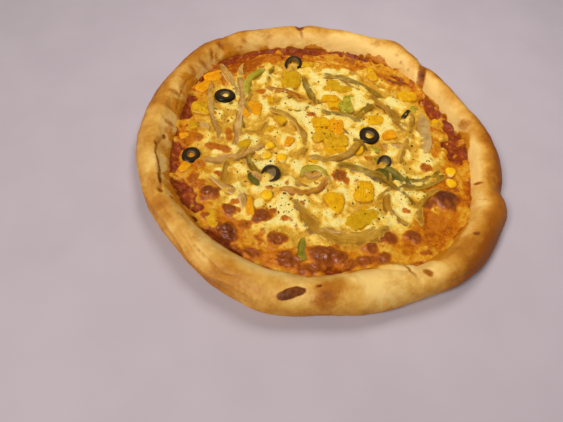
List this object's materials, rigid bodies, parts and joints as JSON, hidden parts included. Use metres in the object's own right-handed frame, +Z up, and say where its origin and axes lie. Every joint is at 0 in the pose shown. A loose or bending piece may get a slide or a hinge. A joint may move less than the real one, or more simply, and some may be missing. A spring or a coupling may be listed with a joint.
{
  "type": "vegetarian pizza",
  "caption": "Whole round baked pizza with a raised golden rim, tomato sauce and melted cheese, topped with olive rings, onion strips, diced bell pepper and corn.",
  "frame": {"origin": "middle of the flat underside of the dough, on the surface it rests on", "axes": "+Z up out of the cheese; -Y towards the near side, where the rim has its dark oval blister; +X to the right of that view"},
  "size_m": [0.2825, 0.2854, 0.023],
  "materials": {
    "dough": "baked dough, matt, pale gold with browned spots",
    "sauce": "cooked tomato sauce, wet and dark red",
    "cheese": "melted cheese, soft sheen, cream yellow with browned blisters",
    "olive": "sliced black olive, smooth and moist",
    "corn": "cooked sweetcorn, smooth and moist",
    "onion": "roasted onion, thin, moist and part clear",
    "yellow_pepper": "roasted yellow bell pepper, moist",
    "orange_pepper": "roasted orange bell pepper, moist",
    "green_pepper": "roasted green bell pepper, moist"
  },
  "bodies": {
    "root": {"cheese": "cheese", "corn_centre": "corn", "corn_east": "corn", "corn_north": "corn", "corn_south": "corn", "corn_southeast": "corn", "corn_west": "corn", "dough": "dough", "green_pepper_arch": "green_pepper", "green_pepper_curved": "green_pepper", "green_pepper_dark": "green_pepper", "green_pepper_south": "green_pepper", "green_pepper_upper": "green_pepper", "green_pepper_wedge": "green_pepper", "olive_centre": "olive", "olive_east": "olive", "olive_north": "olive", "olive_sliver": "olive", "olive_small": "olive", "olive_southwest": "olive", "olive_west": "olive", "onion_by_olive": "onion", "onion_east": "onion", "onion_far_east": "onion", "onion_far_west": "onion", "onion_long_arc": "onion", "onion_loop": "onion", "onion_lower": "onion", "onion_lower_west": "onion", "onion_middle": "onion", "onion_north": "onion", "onion_north_arc": "onion", "onion_north_hook": "onion", "onion_northwest": "onion", "onion_ring_left": "onion", "onion_ring_right": "onion", "onion_slab": "onion", "onion_south": "onion", "onion_southwest": "onion", "onion_under_arc": "onion", "onion_upper": "onion", "onion_west": "onion", "orange_pepper_centre": "orange_pepper", "orange_pepper_strip": "orange_pepper", "orange_pepper_west": "orange_pepper", "sauce": "sauce", "yellow_pepper_by_olive": "yellow_pepper", "yellow_pepper_centre": "yellow_pepper", "yellow_pepper_drop": "yellow_pepper", "yellow_pepper_east": "yellow_pepper", "yellow_pepper_inner": "yellow_pepper", "yellow_pepper_long": "yellow_pepper", "yellow_pepper_middle": "yellow_pepper", "yellow_pepper_north": "yellow_pepper", "yellow_pepper_south": "yellow_pepper", "yellow_pepper_square": "yellow_pepper", "yellow_pepper_triangle": "yellow_pepper", "yellow_pepper_upper": "yellow_pepper", "yellow_pepper_wedge": "yellow_pepper", "yellow_pepper_west": "yellow_pepper"}
  },
  "joints": []
}
